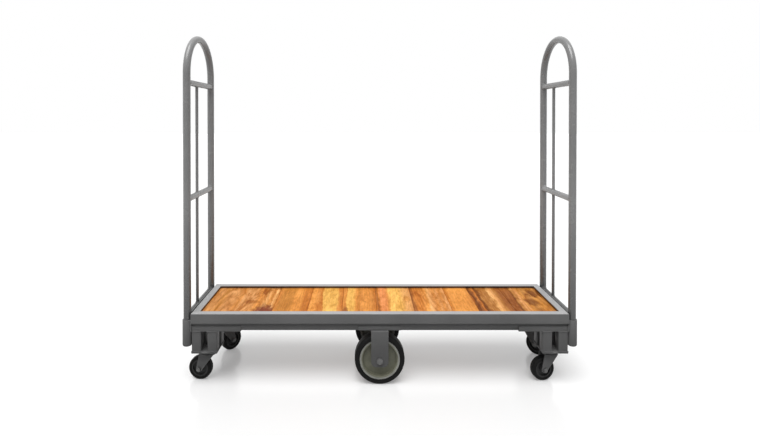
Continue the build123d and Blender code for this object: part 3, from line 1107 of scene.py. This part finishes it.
@dataclass
class Casters:
    """The four swivel casters."""

    steel: Material
    rubber: Material
    zinc: Material
    form: WheelForm = WheelForm(
        radius=0.048, tread=0.030, tyre_depth=0.013, shoulder=0.008,
        sleeve=0.007, hub_half=0.0185, leg=0.004,
    )
    bolt: Fastener = SMALL_BOLT
    steel_round: float = 0.0012

    def build(self) -> None:
        """Make each caster's steel, tyre and axle."""
        for name in CORNERS:
            joint = next(item for item in frame["joints"] if item["name"] == f"{name}_wheel_roll")
            place = Matrix.Translation(joint["pos_m"]) @ turned(joint["axis"])
            swivel, wheel = f"{name}_swivel", f"{name}_wheel"
            paint, width = self.steel, self.steel_round
            rounded(f"{name}_caster_fork", width, paint, swivel, "caster_steel")
            rounded(f"{name}_caster_plate", width, paint, FRAME_BODY, "caster_steel", ringed=True)
            tyre = self.form.tyre(place)
            tyre.finish(f"{name}_tyre", self.rubber, wheel, "tyre", (f"{name}_caster_tyre",))
            axle = self.form.axle(self.bolt, place)
            axle.finish(f"{name}_axle", self.zinc, swivel, "zinc", (f"{name}_caster_axle",))


@dataclass
class CentreWheels:
    """The two fixed wheels under the middle of the deck."""

    rubber: Material
    zinc: Material
    form: WheelForm = WheelForm(
        radius=0.1016, tread=0.05, tyre_depth=0.020, shoulder=0.009,
        sleeve=0.011, hub_half=0.0285, leg=0.006,
    )
    bolt: Fastener = Fastener(radius=0.008, across_flats=0.024, head=0.008, nut=0.010, past_nut=0.003)
    bracket_bolt: Fastener = SMALL_BOLT
    wheel_y: float = 0.1425
    bolt_x: float = 0.02
    bolt_rows: Pair = (0.1535, 0.125)
    plate_low: float = 0.2132
    nut_low: float = 0.2242

    def build(self) -> None:
        """Make each wheel's tyre and axle, and the bracket bolts."""
        for name, side in SIDES.items():
            centre = (0.0, side * self.wheel_y, self.form.radius)
            place = Matrix.Translation(centre) @ turned((0, side, 0))
            wheel = f"{name}_centre_wheel"
            tyre = self.form.tyre(place)
            tyre.finish(f"{name}_middle_tyre", self.rubber, wheel, "tyre", (f"{name}_centre_tyre",))
            axle = self.form.axle(self.bolt, place)
            axle.finish(f"{name}_middle_axle", self.zinc, FRAME_BODY, "zinc", (f"{name}_centre_axle",))
        bolts = Shell()
        for side, x, y in product(SIDES.values(), (-self.bolt_x, self.bolt_x), self.bolt_rows):
            place = Matrix.Translation((x, side * y, 0.0)) @ Matrix.Rotation(math.pi, 4, "X")
            self.bracket_bolt.along(bolts, place, -self.nut_low, -self.plate_low)
        bolts.finish("middle_bracket_bolts", self.zinc, FRAME_BODY, "zinc", ("centre_bracket_bolts",))


def deck_woods() -> list[BoardWood]:
    """Choose each board's wood, from left to right.

    Returns:
        The boards' finishes.
    """
    pale, cream, blush, honey, rose, amber, tan, fawn, russet, chestnut, brown, umber, ember = WoodTone
    return [
        BoardWood(
            number=1, pith=(-0.64, 0.0), arch=(-0.16, 0.2), ring=0.023, grain=0.9, figure=0.9,
            streaks=(
                (-0.755, tan), (-0.735, amber), (-0.715, blush), (-0.7, blush), (-0.68, tan),
                (-0.66, blush), (-0.63, blush), (-0.606, amber), (-0.59, blush),
            ),
        ),
        BoardWood(
            number=2, pith=(-0.53, 0.0), arch=(-0.26, 0.17), ring=0.021, grain=0.6, figure=1.0,
            streaks=(
                (-0.58, blush), (-0.55, blush), (-0.53, honey), (-0.515, amber), (-0.495, cream),
                (-0.478, amber), (-0.462, cream), (-0.45, amber),
            ),
            stains=(
                Stain((-0.511, 0.105), (0.024, 0.06), chestnut, 0.95, 0.7),
                Stain((-0.55, -0.018), (0.042, 0.03), chestnut, 0.9, 0.7),
                # Painted shade: a dark patch at the board's rear end, standing for the shadow under the rear
                # rail's flange.
                Stain((-0.465, 0.155), (0.05, 0.03), brown, 0.7),
                Stain((-0.482, -0.122), (0.064, 0.1), ember, 1.0, 0.5),
            ),
        ),
        BoardWood(
            number=3, pith=(-0.2, 0.04), arch=(0.0, 0.02), ring=0.010, grain=0.25, figure=0.4,
            streaks=(
                (-0.44, amber), (-0.425, tan), (-0.38, tan), (-0.36, honey), (-0.34, honey),
                (-0.325, russet),
            ),
        ),
        BoardWood(
            number=4, pith=(-0.4, 0.05), arch=(0.0, 0.04), ring=0.010, grain=0.25, figure=0.6,
            streaks=(
                (-0.298, russet), (-0.29, honey), (-0.27, honey), (-0.25, amber), (-0.241, russet),
                (-0.235, pale), (-0.18, pale), (-0.172, amber), (-0.158, russet),
            ),
            stains=(
                Stain((-0.263, -0.07), (0.026, 0.10), russet, 0.85),
            ),
        ),
        BoardWood(
            number=5, pith=(0.1, 0.05), arch=(0.0, 0.03), ring=0.010, grain=0.25, figure=0.5,
            streaks=(
                (-0.154, amber), (-0.15, russet), (-0.145, pale), (-0.115, pale), (-0.10, honey),
                (-0.09, tan), (-0.08, amber), (-0.055, honey), (-0.03, amber), (-0.013, russet),
            ),
            stains=(
                Stain((-0.141, -0.11), (0.012, 0.04), brown, 0.8),
            ),
        ),
        BoardWood(
            number=6, pith=(0.105, 0.0), arch=(-0.2, 0.15), ring=0.013, grain=0.3, figure=0.6,
            streaks=(
                (-0.008, russet), (0.0, brown), (0.006, russet), (0.012, rose), (0.034, rose),
                (0.046, amber), (0.056, pale), (0.09, pale), (0.115, cream), (0.143, blush),
            ),
            stains=(
                Stain((0.126, 0.015), (0.018, 0.04), tan, 0.8),
            ),
        ),
        BoardWood(
            number=7, pith=(0.265, 0.0), arch=(0.3, 0.13), ring=0.012, grain=0.7, figure=1.0,
            streaks=(
                (0.15, brown), (0.158, brown), (0.168, russet), (0.196, russet), (0.207, amber),
                (0.218, honey), (0.227, cream), (0.237, blush), (0.255, amber), (0.27, blush),
                (0.285, amber), (0.297, blush),
            ),
        ),
        BoardWood(
            number=8, pith=(0.6, 0.08), arch=(0.0, 0.02), ring=0.014, grain=0.2, figure=0.3,
            streaks=(
                (0.307, russet), (0.314, russet), (0.324, honey), (0.4, honey), (0.414, amber),
            ),
        ),
        BoardWood(
            number=9, pith=(0.3, 0.05), arch=(0.0, 0.03), ring=0.010, grain=0.35, figure=0.9,
            streaks=(
                (0.418, russet), (0.424, umber), (0.43, umber), (0.438, brown), (0.448, russet),
                (0.453, umber), (0.458, umber), (0.466, fawn), (0.48, fawn), (0.5, fawn), (0.513, cream),
                (0.522, blush), (0.535, fawn), (0.55, brown),
            ),
        ),
        BoardWood(
            number=10, pith=(0.68, 0.0), arch=(-0.2, 0.14), ring=0.015, grain=0.7, figure=1.0,
            streaks=(
                (0.569, brown), (0.592, brown), (0.6, umber), (0.607, fawn), (0.625, blush), (0.645, tan),
                (0.67, fawn), (0.7, tan), (0.735, fawn), (0.75, brown),
            ),
            stains=(
                Stain((0.668, -0.02), (0.034, 0.055), umber, 0.75, 0.7),
                Stain((0.706, 0.085), (0.042, 0.065), umber, 0.9),
            ),
        ),
    ]


def paint_nodes(finishes: dict[str, Material]) -> None:
    """Give every CAD node its slot's finish.

    Args:
        finishes: The materials by slot.
    """
    for subpart in frame["record"]["subparts"]:
        node = frame["nodes"][subpart["node"]]
        node.data.materials.clear()
        node.data.materials.append(finishes[subpart["material_slot"]])
        log.info("%s takes %s", node.name, subpart["material_slot"])


@dataclass
class Studio:
    """The floor, the light and the camera."""

    camera_place: Triple = (-0.078, -2.142, 1.0838)
    camera_dip: float = 0.5
    focal_pixels: float = 490.0
    principal: Pair = (360.5, 117.0)
    picture: tuple[int, int] = (760, 436)
    sensor: float = 36.0
    floor_reach: float = 30.0
    floor_tone: float = 0.85
    floor_bounce: float = 0.12
    floor_lift: float = 0.25
    floor_roughness: float = 0.2
    floor_gloss: float = 1.0
    sky: float = 0.45
    sky_span: Pair = (0.05, 0.8)
    sky_low: float = 0.06
    key: float = 2.2
    key_spread: float = 46.0
    key_tilt: Pair = (19.0, -8.0)

    def build(self) -> None:
        """Make the floor, the light and the camera."""
        self.floor()
        self.world()
        self.lamp()
        self.camera()

    def floor(self) -> None:
        """Lay a pale floor that keeps the cart's shadow and a faint reflection."""
        part = bmesh.new()
        bmesh.ops.create_grid(part, x_segments=1, y_segments=1, size=self.floor_reach)
        mesh = bpy.data.meshes.new("floor")
        part.to_mesh(mesh)
        part.free()
        nodes = FinishNodes("floor")
        seen = nodes.seen()
        mesh.materials.append(nodes.finish(
            Base_Color=nodes.ramp(seen, (0.0, self.floor_bounce), (1.0, self.floor_tone)),
            Roughness=self.floor_roughness,
            Specular_IOR_Level=self.floor_gloss,
            Emission_Color=WHITE,
            Emission_Strength=nodes.sum("MULTIPLY", seen, self.floor_lift),
        ))
        floor = bpy.data.objects.new("floor", mesh)
        bpy.context.scene.collection.objects.link(floor)

    def world(self) -> None:
        """Surround the cart with white that the camera and reflections see, and a soft light from above."""
        world = bpy.data.worlds.new("studio")
        bpy.context.scene.world = world
        world.use_nodes = True
        nodes = ShaderNodes(world.node_tree)
        up = nodes.split(nodes.add("TexCoord").outputs["Generated"])[2]
        glow = nodes.ranged(up, *self.sky_span, self.sky_low)
        strength = nodes.sum("MULTIPLY", glow, self.sky)
        dim = nodes.add("Background", {"Color": WHITE, "Strength": strength}).outputs[0]
        white = nodes.add("Background", {"Color": WHITE, "Strength": 1.0}).outputs[0]
        blend = nodes.add("MixShader", {0: nodes.seen(), 1: dim, 2: white}).outputs[0]
        nodes.add("OutputWorld", {0: blend})

    def lamp(self) -> None:
        """Hang one wide soft lamp over the cart, a little to the front."""
        light = bpy.data.lights.new("key", "SUN")
        light.energy = self.key
        light.angle = math.radians(self.key_spread)
        lamp = bpy.data.objects.new("key", light)
        lamp.rotation_euler = (*map(math.radians, self.key_tilt), 0.0)
        bpy.context.scene.collection.objects.link(lamp)

    def camera(self) -> None:
        """Stand the camera where the photograph was taken from."""
        data = bpy.data.cameras.new("camera")
        width, height = self.picture
        dip = math.radians(self.camera_dip)
        data.sensor_width = self.sensor
        data.lens = self.sensor * self.focal_pixels / width
        data.shift_x = (width / 2 - self.principal[0]) / width
        data.shift_y = (self.principal[1] + self.focal_pixels * math.tan(dip) - height / 2) / width
        camera = bpy.data.objects.new("camera", data)
        camera.location = self.camera_place
        camera.rotation_euler = (math.pi / 2 - dip, 0.0, 0.0)
        bpy.context.scene.collection.objects.link(camera)
        bpy.context.scene.camera = camera
        bpy.context.scene.view_settings.view_transform = "Standard"


def main() -> None:
    """Build the cart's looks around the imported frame."""
    named = (
        # frame_paint carries a painted highlight on its top faces; frame_paint and handle_paint darken toward the
        # bottom as painted shade.
        SteelPaint("frame_paint", 0.213, painted_top_sheen=0.485, painted_low_shade=0.6),
        SteelPaint("handle_paint", 0.31, 0.26, 0.7, 1.55, painted_low_shade=0.25, low_shade_span=(0.26, 0.7)),
        SteelPaint("caster_steel", 0.172),
        HubPlastic("caster_hub", (0.025, 0.025, 0.025)),
        HubPlastic("washer", (0.03, 0.03, 0.03)),
    )
    finishes = {finish.name: finish.material() for finish in named}
    finishes |= {
        "tyre": TyreRubber().material(),
        "centre_core": CastCore().material(),
        "zinc": ZincPlate().material(),
    }
    for wood in deck_woods():
        finishes[f"board_wood_{wood.number:02d}"] = wood.material()
    paint_nodes(finishes)
    DeckFrame(finishes["frame_paint"]).build()
    Handles(finishes["handle_paint"]).build()
    Casters(finishes["caster_steel"], finishes["tyre"], finishes["zinc"]).build()
    CentreWheels(finishes["tyre"], finishes["zinc"]).build()
    Studio().build()


if __name__ == "__main__":
    main()
